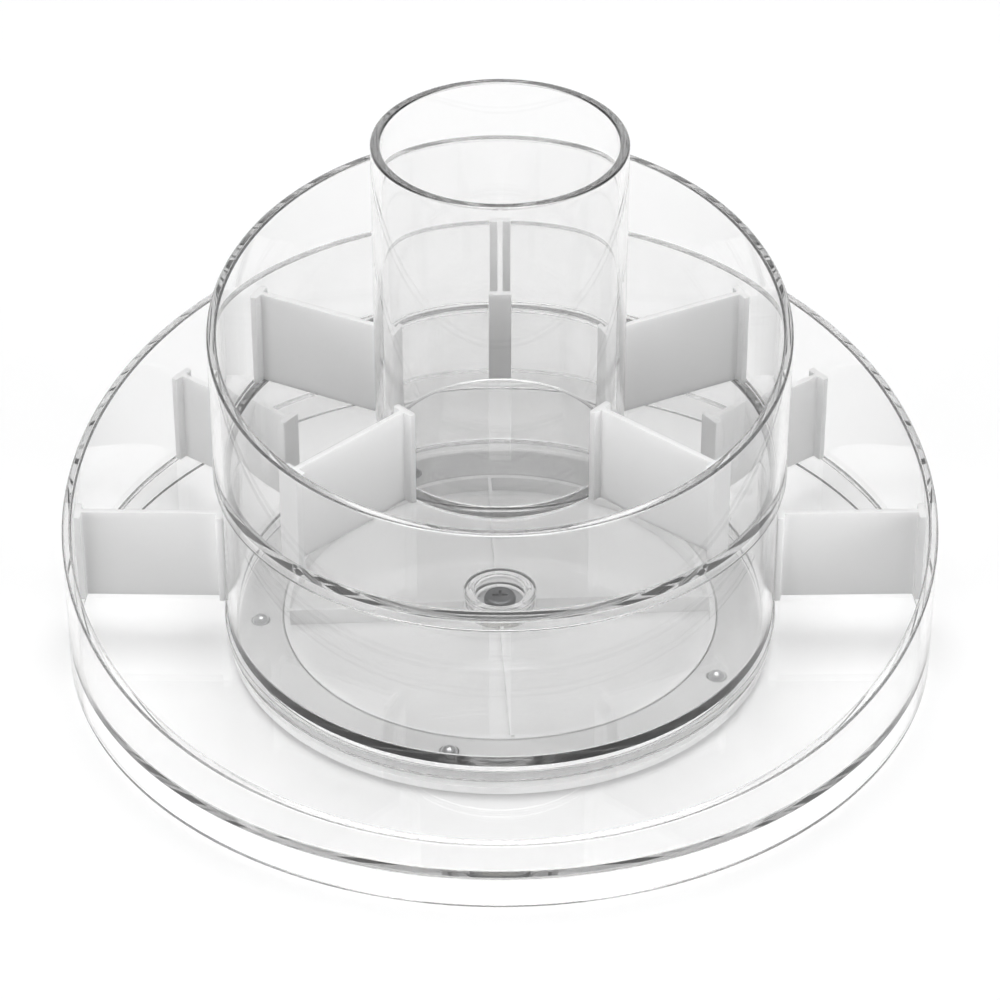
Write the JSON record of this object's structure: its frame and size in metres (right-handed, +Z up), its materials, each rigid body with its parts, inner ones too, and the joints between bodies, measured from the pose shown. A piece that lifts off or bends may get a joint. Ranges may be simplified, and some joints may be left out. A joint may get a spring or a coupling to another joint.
{
  "type": "rotating vanity organizer",
  "caption": "Clear turntable organizer for a vanity: a wide round tray with a slanted rim, a smaller slanted tray raised on a drum, a tall brush cup and loose frosted dividers.",
  "frame": {"origin": "on the table under the spin axis, in the plane of the rubber feet", "axes": "+Z up along the spin axis, -Y toward the low side of both slanted rims, +X to the right of someone facing that side"},
  "size_m": [0.28, 0.28, 0.1845],
  "materials": {
    "clear_plastic": "clear polished moulding",
    "frosted_plastic": "frosted translucent moulding",
    "base_plastic": "hazy clear moulding",
    "cage_plastic": "grey moulding",
    "ball_steel": "polished",
    "bush_plastic": "plain moulding",
    "washer_steel": "plated",
    "screw_steel": "dark plated",
    "foot_rubber": "translucent pad"
  },
  "bodies": {
    "base": {"base_plate": "base_plastic", "rubber_feet": "foot_rubber", "pivot_washer": "washer_steel", "pivot_screw": "screw_steel"},
    "cage": {"ball_cage": "cage_plastic", "bearing_balls": "ball_steel"},
    "carousel": {"lower_tray": "clear_plastic", "pivot_bush": "bush_plastic"},
    "riser": {"riser_drum": "clear_plastic"},
    "upper": {"upper_tray": "clear_plastic"},
    "cup": {"brush_cup": "clear_plastic"},
    "lower_panel_1": {"lower_divider_1": "frosted_plastic"},
    "lower_panel_2": {"lower_divider_2": "frosted_plastic"},
    "lower_panel_3": {"lower_divider_3": "frosted_plastic"},
    "lower_panel_4": {"lower_divider_4": "frosted_plastic"},
    "upper_panel_1": {"upper_divider_1": "frosted_plastic"},
    "upper_panel_2": {"upper_divider_2": "frosted_plastic"},
    "upper_panel_3": {"upper_divider_3": "frosted_plastic"},
    "upper_panel_4": {"upper_divider_4": "frosted_plastic"},
    "upper_panel_5": {"upper_divider_5": "frosted_plastic"}
  },
  "joints": [
    {"name": "spin", "type": "hinge", "parent": "base", "child": "carousel", "pos_m": [0, 0, 0], "axis": [0, 0, 1], "continuous": true},
    {"name": "cage_spin", "type": "hinge", "parent": "base", "child": "cage", "pos_m": [0, 0, 0], "axis": [0, 0, 1], "continuous": true},
    {"name": "riser_lift", "type": "slide", "parent": "carousel", "child": "riser", "axis": [0, 0, 1], "range_m": [0, 0.06]},
    {"name": "upper_lift", "type": "slide", "parent": "riser", "child": "upper", "axis": [0, 0, 1], "range_m": [0, 0.06]},
    {"name": "cup_lift", "type": "slide", "parent": "upper", "child": "cup", "axis": [0, 0, 1], "range_m": [0, 0.12]},
    {"name": "lower_divider_1_lift", "type": "slide", "parent": "carousel", "child": "lower_panel_1", "axis": [0, 0, 1], "range_m": [0, 0.02]},
    {"name": "lower_divider_2_lift", "type": "slide", "parent": "carousel", "child": "lower_panel_2", "axis": [0, 0, 1], "range_m": [0, 0.02]},
    {"name": "lower_divider_3_lift", "type": "slide", "parent": "carousel", "child": "lower_panel_3", "axis": [0, 0, 1], "range_m": [0, 0.02]},
    {"name": "lower_divider_4_lift", "type": "slide", "parent": "carousel", "child": "lower_panel_4", "axis": [0, 0, 1], "range_m": [0, 0.02]},
    {"name": "upper_divider_1_lift", "type": "slide", "parent": "upper", "child": "upper_panel_1", "axis": [0, 0, 1], "range_m": [0, 0.045]},
    {"name": "upper_divider_2_lift", "type": "slide", "parent": "upper", "child": "upper_panel_2", "axis": [0, 0, 1], "range_m": [0, 0.045]},
    {"name": "upper_divider_3_lift", "type": "slide", "parent": "upper", "child": "upper_panel_3", "axis": [0, 0, 1], "range_m": [0, 0.045]},
    {"name": "upper_divider_4_lift", "type": "slide", "parent": "upper", "child": "upper_panel_4", "axis": [0, 0, 1], "range_m": [0, 0.045]},
    {"name": "upper_divider_5_lift", "type": "slide", "parent": "upper", "child": "upper_panel_5", "axis": [0, 0, 1], "range_m": [0, 0.045]}
  ],
  "couplings": [
    {"joint": "cage_spin", "follows": "spin", "ratio": 0.5}
  ]
}
